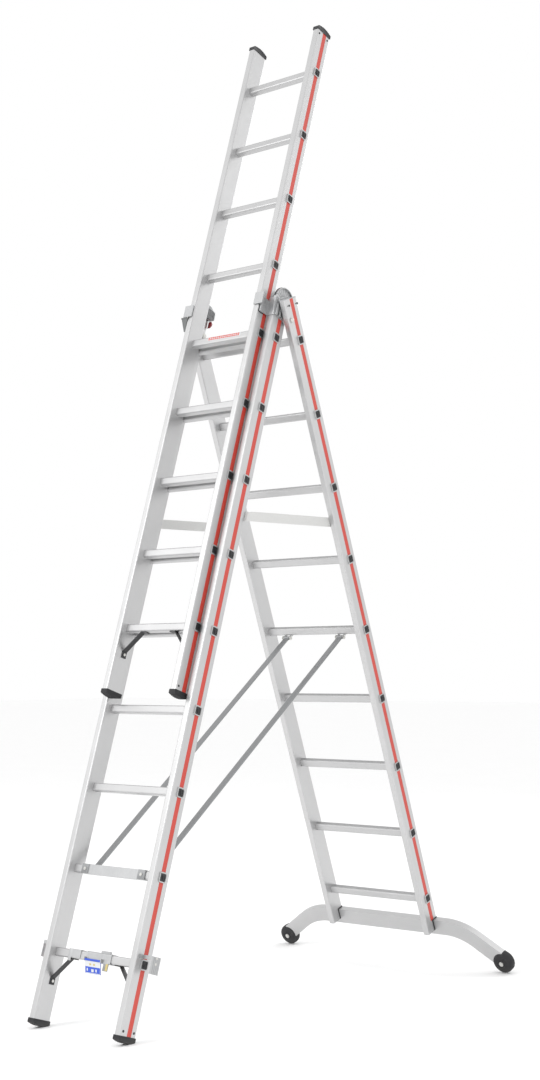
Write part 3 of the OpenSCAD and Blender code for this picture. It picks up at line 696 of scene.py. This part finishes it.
def make_tread_strip():
    """Warning band on the front of a raised rung: two rows of plain red blocks on a pale backing."""
    start, end, height = -70 * MM, 86 * MM, 14 * MM
    front, middle = -RUNG / 2, 4 * PITCH + 5 * MM
    backing = to_mesh(bar(start, end, rounded(0.3 * MM, height, 0.12 * MM, 2)), "backing")
    piece("tread_band_backing", joined("backing", [(backing, at(0, front - 0.15 * MM, middle))]),
          "print_pale", "raised_section", RAISED)
    count, margin = 15, 2 * MM
    step = (end - start - 2 * margin) / count
    block = template("band block", bar(0, step * 0.8, rounded(0.3 * MM, 4.6 * MM, 0.12 * MM, 2)))
    row = grow(ROW, "stripe", block, count=count, step=(step, 0, 0))
    rows = [(row, at(start + margin, front - 0.35 * MM, middle + lift)) for lift in (-3.2 * MM, 3.2 * MM)]
    piece("tread_band", joined("band", rows), "stripe", "raised_section", RAISED)


def make_label_print():
    """Printed panels on the hanging plate, with no words or figures, and a two-tone tab beside it."""
    low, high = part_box("label_plate")
    left, right = low.x + 0.8 * MM, high.x - 0.8 * MM
    pin_low, pin_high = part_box("label_pin")
    hang = (pin_low.z + pin_high.z) / 2
    front = (pin_low.y + pin_high.y) / 2 - 1.15 * MM

    def panel(x0, x1, z0, z1, lift=0.0):
        outline = [(y - lift, z + (z0 + z1) / 2) for y, z in rounded(0.3 * MM, z1 - z0, 0.12 * MM, 2)]
        return to_mesh(bar(x0, x1, outline), "panel")

    whole = at(0, front, hang)
    middle = (left + right) / 2
    pale = [panel(left, right, -43.2 * MM, -3.8 * MM)]
    pale += [panel(middle + x, middle + x + width, z, z + 9 * MM, 0.5 * MM) for x, z, width in
             ((-27 * MM, -36 * MM, 5 * MM), (-6 * MM, -38 * MM, 11 * MM), (13 * MM, -37 * MM, 6 * MM))]
    blue = [panel(left + 1.5 * MM, right - 1.5 * MM, -41 * MM, -22 * MM, 0.25 * MM)]
    tan = [panel(middle + x, middle + x + 9 * MM, -17 * MM, -11 * MM, 0.25 * MM) for x in (-16 * MM, 2 * MM)]
    panels = (("label_blue_panel", blue, "print_blue"), ("label_pale_panels", pale, "print_pale"),
              ("label_tan_panels", tan, "print_yellow"))
    for name, meshes, finish in panels:
        piece(name, joined(name, [(m, whole) for m in meshes]), finish, "label")
    tab = BASE @ at(0, -RUNG / 2 - 3.4 * MM, -27 * MM)
    halves = (("tab_grey_half", 49 * MM, 60 * MM, "strut"),
              ("tab_tan_half", 60.3 * MM, 70 * MM, "print_yellow"))
    for name, x0, x1, finish in halves:
        cover = to_mesh(bar(x0, x1, rounded(0.5 * MM, 22 * MM, 0.2 * MM, 2)), name)
        piece(name, cover, finish, "base", tab)


def base_fitting(name, parts, finish):
    """A piece on the base section, from (mesh, place) pairs in its axes."""
    return piece(name, joined(name, parts), finish, "base", BASE)


def make_hoods():
    """Ribs round each bracket's hood, spokes on its side, and a dark liner on its rim."""
    half = HALF_WIDTH["base"]
    outer = HALF_WIDTH["rear_section"] - RAIL - 0.8 * MM
    place = at(y=RAIL_MIDDLE, z=HOOD_RISE)
    rib = template("hood rib", bar(half + 0.2 * MM, outer, rounded(1.6 * MM, 2.2 * MM, 0.5 * MM, 3)))
    ribs = grow(RING, "bracket", rib, count=15, radius=HOOD_RADIUS - 0.2 * MM,
                first_angle=math.radians(14), angle_step=math.radians(152 / 14))
    base_fitting("hood_ribs", on_both(ribs, place), "bracket")
    spoke_outline = rounded(26 * MM, 1.8 * MM, 0.6 * MM, 3)
    spoke = template("hood spoke", bar(half + 3.7 * MM, half + 4.9 * MM, spoke_outline))
    spokes = grow(RING, "bracket", spoke, count=9, radius=31 * MM,
                  first_angle=math.radians(20), angle_step=math.radians(140 / 8))
    base_fitting("hood_spokes", on_both(spokes, place), "bracket")
    link_outline = rounded(1.6 * MM, 9.6 * MM, 0.6 * MM, 3)
    link = template("hood liner", bar(half - 0.6 * MM, half + 4.4 * MM, link_outline))
    liner = grow(RING, "plastic", link, count=17, radius=HOOD_RADIUS + 0.5 * MM,
                 first_angle=math.radians(6), angle_step=math.radians(168 / 16))
    base_fitting("hood_liner", on_both(liner, place), "plastic")


def make_hinge_lugs():
    """A ribbed lug behind each hinge, with a dark red lever below it."""
    inner = HALF_WIDTH["base"] - RAIL - 0.2 * MM
    side_view = [(-6 * MM, 0), (-6 * MM, 50 * MM), (12 * MM, 50 * MM), (42 * MM, 31 * MM), (42 * MM, 5 * MM),
                 (34 * MM, 0)]
    block = to_mesh(bar(165 * MM, inner, side_view, 1.5 * MM), "lug")
    rib = template("lug rib", bar(163.4 * MM, 165.4 * MM, rounded(1.6 * MM, 36 * MM, 0.6 * MM, 2)))
    lines = grow(ROW, "bracket", rib, count=6, step=(0, 6.4 * MM, 0))
    parts = on_both(block, at(0, 0, HOOD_RISE)) + on_both(lines, at(0, 4 * MM, HOOD_RISE + 20 * MM))
    base_fitting("hinge_lugs", parts, "strut")
    side_view = [(33 * MM, -2 * MM), (41 * MM, -9 * MM), (41 * MM, -16 * MM), (33 * MM, -30 * MM)]
    lever = to_mesh(bar(169 * MM, inner, side_view, 1 * MM), "lever")
    base_fitting("hinge_levers", on_both(lever, at(0, 0, HOOD_RISE)), "dark_red")


def make_bracket_plates():
    """Upright fins on each bracket's side plate, over a dark panel of painted shade that stands for the shadowed
    grooves between them.
    """
    face, low, tall = HALF_WIDTH["base"] + 4 * MM, HOOD_RISE - 68 * MM, 60 * MM
    # The dark panel is painted shade: it darkens the gaps between the fins where the grooves would be in shadow.
    groove = to_mesh(bar(face, face + 0.5 * MM, rounded(72 * MM, tall, 2 * MM)), "groove")
    fin_outline = rounded(10 * MM, tall + 2 * MM, 2 * MM, 3)
    fin = template("plate fin", bar(face, face + 5 * MM, fin_outline, 0.4 * MM))
    fins = grow(ROW, "bracket", fin, count=4, step=(0, 19 * MM, 0))
    base_fitting("plate_grooves", on_both(groove, at(0, RAIL_MIDDLE - 1 * MM, low + tall / 2)), "dark_grey_and_painted_shade")
    base_fitting("plate_fins", on_both(fins, at(0, RAIL_MIDDLE - 29.5 * MM, low + tall / 2)), "bracket")


def make_bracket_heads():
    """Caps on the hinge bolts, and two rivets through each bracket."""
    cap = dome(9.5 * MM, 4 * MM, "bolt cap")
    head = grow(ROW, "zinc", cap, count=1, step=(0, 0, 0))
    spot = at(HALF_WIDTH["rear_section"] + 2.6 * MM, NEST / 2, HINGE_RISE)
    base_fitting("hinge_bolt_caps", on_both(head, spot), "zinc")
    small = dome(4 * MM, 1.8 * MM, "bracket rivet")
    row = grow(ROW, "zinc", small, count=2, step=(0, 34 * MM, 0))
    spot = at(HALF_WIDTH["base"] + 5.4 * MM, RAIL_MIDDLE - 26 * MM, HOOD_RISE - 50 * MM)
    base_fitting("bracket_rivets", on_both(row, spot), "zinc")


def make_crossbar_feet():
    """Round rubber feet: a domed disc with a ring round each hub, tread ribs and a lip round the tube."""
    half_thick, above_hub = 21 * MM, 6.6 * MM
    steps, fullness = 28, 2 / 3.6
    profile = []
    for i in range(steps + 1):
        t = math.pi * i / steps
        profile.append((math.copysign(abs(math.cos(t)) ** fullness, math.cos(t)) * half_thick,
                        math.sin(t) ** fullness * FOOT_RADIUS if 0 < i < steps else 0))
    disc = to_mesh(turned(profile, 56), "disc")
    ring = to_mesh(turned([(19 * MM, 15 * MM), (21.9 * MM, 16 * MM), (21.9 * MM, 18 * MM),
                           (19 * MM, 20 * MM)], 40), "ring")
    rib = template("foot rib", bar(-10 * MM, 10 * MM, rounded(2.4 * MM, 2.6 * MM, 0.8 * MM, 3)))
    lip = to_mesh(stacked([(4 * MM, 0), (18 * MM, 0), (19.5 * MM, 1.2 * MM), (19.5 * MM, 2 * MM)],
                          lambda inset: rounded(33 * MM - 2 * inset, 65 * MM - 2 * inset, 6 * MM)), "lip")
    for word, sign, first in (("right", 1, 165), ("left", -1, -105)):
        hub = level_with("crossbar_bolts", sign * FOOT_STANCE) @ Matrix.Rotation(REAR_LEAN, 4, "X")
        wheel = hub @ Matrix.Rotation(math.pi / 2, 4, "Z")
        tread = grow(RING, "rubber", rib, count=13, radius=FOOT_RADIUS - 0.9 * MM,
                     first_angle=math.radians(first), angle_step=math.radians(10))
        turn = math.pi + BAR_SLOPE if sign > 0 else -BAR_SLOPE
        tube = hub @ Matrix.Rotation(turn, 4, "Y") @ at(z=-sign * above_hub)
        parts = [(disc, wheel), (ring, wheel), (ring, wheel @ HALF_TURN), (tread, wheel), (lip, tube)]
        foot = piece("round_foot_" + word, joined("foot", parts), "rubber", "rear_section")
        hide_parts("crossbar_foot_" + word)


def make_rung_bracket():
    """Bent bracket that hooks over the front of the lowest rung."""
    front, back, skin = -RUNG / 2 - 2.4 * MM, RUNG / 2 - 4 * MM, 0.3 * MM
    top, low = RUNG / 2 + 2.4 * MM, -RUNG / 2 - 9 * MM
    clip = [(front, low), (-RUNG / 2 - skin, low), (-RUNG / 2 - skin, RUNG / 2 + skin),
            (back, RUNG / 2 + skin), (back, top), (front, top)]
    short_clip = [(y, max(z, -RUNG / 2 + 3 * MM)) for y, z in clip]
    parts = [(to_mesh(bar(-119 * MM, -106 * MM, clip, 0.5 * MM), "clip"), at()),
             (to_mesh(bar(-106 * MM, -64 * MM, short_clip), "clip"), at())]
    base_fitting("rung_bracket", parts, "bracket")


def make_fittings():
    """Seat end plates, guide screws, strut washers and the caps on the ends of the struts' rod."""
    seat_face = at(0, -RUNG / 2 - 4 * MM, PITCH)
    end_plate = to_mesh(bar(-16 * MM, 16 * MM, rounded(0.6 * MM, 32 * MM, 0.28 * MM, 2)), "plate")
    base_fitting("seat_end_plates", [(end_plate, seat_face @ at(x)) for x in (-STRUT_X, STRUT_X)], "strut")
    screw = dome(4.5 * MM, 2 * MM, "screw head")
    row = grow(ROW, "zinc", screw, count=2, step=(0, 0, 18 * MM))
    spot = at(HALF_WIDTH["rear_section"] + 5.8 * MM, 8 * MM, 8 * MM)
    base_fitting("guide_screws", on_both(row, spot), "zinc")
    eye = dome(8.5 * MM, 3 * MM, "strut washer")
    washer = grow(ROW, "zinc", eye, count=1, step=(0, 0, 0))
    for word, sign in (("right", 1), ("left", -1)):
        parts = [(washer, level_with("strut_pins", sign * STRUT_X + 18.6 * MM)),
                 (washer, level_with("strut_pins", sign * STRUT_X - 18.6 * MM) @ HALF_TURN)]
        piece("strut_washers_" + word, joined("washers", parts), "zinc", "rear_section")
    rod_low, rod_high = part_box("strut_rod")
    parts = [(washer, level_with("strut_rod", rod_high.x - 1 * MM)),
             (washer, level_with("strut_rod", rod_low.x + 1 * MM) @ HALF_TURN)]
    piece("rod_end_caps", joined("caps", parts), "zinc", "struts")


make_rung_plugs()
make_rivets()
make_end_caps()
make_belts()
make_tread_strip()
make_label_print()
make_hoods()
make_hinge_lugs()
make_bracket_plates()
make_bracket_heads()
make_crossbar_feet()
make_rung_bracket()
make_fittings()


# ---- floor and light ----

def make_stage():
    bpy.context.scene.view_settings.view_transform = "Standard"
    size = 40
    mesh = bpy.data.meshes.new("floor")
    mesh.from_pydata([(-size, -size, 0), (size, -size, 0), (size, size, 0), (-size, size, 0)], [],
                     [(0, 1, 2, 3)])
    f = Finish("floor paint", Roughness=0.9)
    tone = f.mix(f.noise(f.place, 2.0), (0.965, 0.965, 0.965), (0.985, 0.985, 0.985))
    mesh.materials.append(f.feed(Base_Color=tone))
    floor = bpy.data.objects.new("floor", mesh)
    bpy.context.scene.collection.objects.link(floor)
    world = bpy.data.worlds.new("studio")
    bpy.context.scene.world = world
    world.use_nodes = True
    world.node_tree.nodes["Background"].inputs["Color"].default_value = (1, 1, 1, 1)
    world.node_tree.nodes["Background"].inputs["Strength"].default_value = 1.0
    area_light("key", (-2.0, -5.5, 4.5), (0, 0, 1.6), (2.5, 2.5), 150)
    area_light("fill", (5.0, -2.0, 3.0), (0, 0, 1.4), (3.0, 3.0), 25)
    area_light("back", (1.0, 5.5, 4.5), (0, 0, 1.6), (3.0, 2.0), 60)


make_stage()
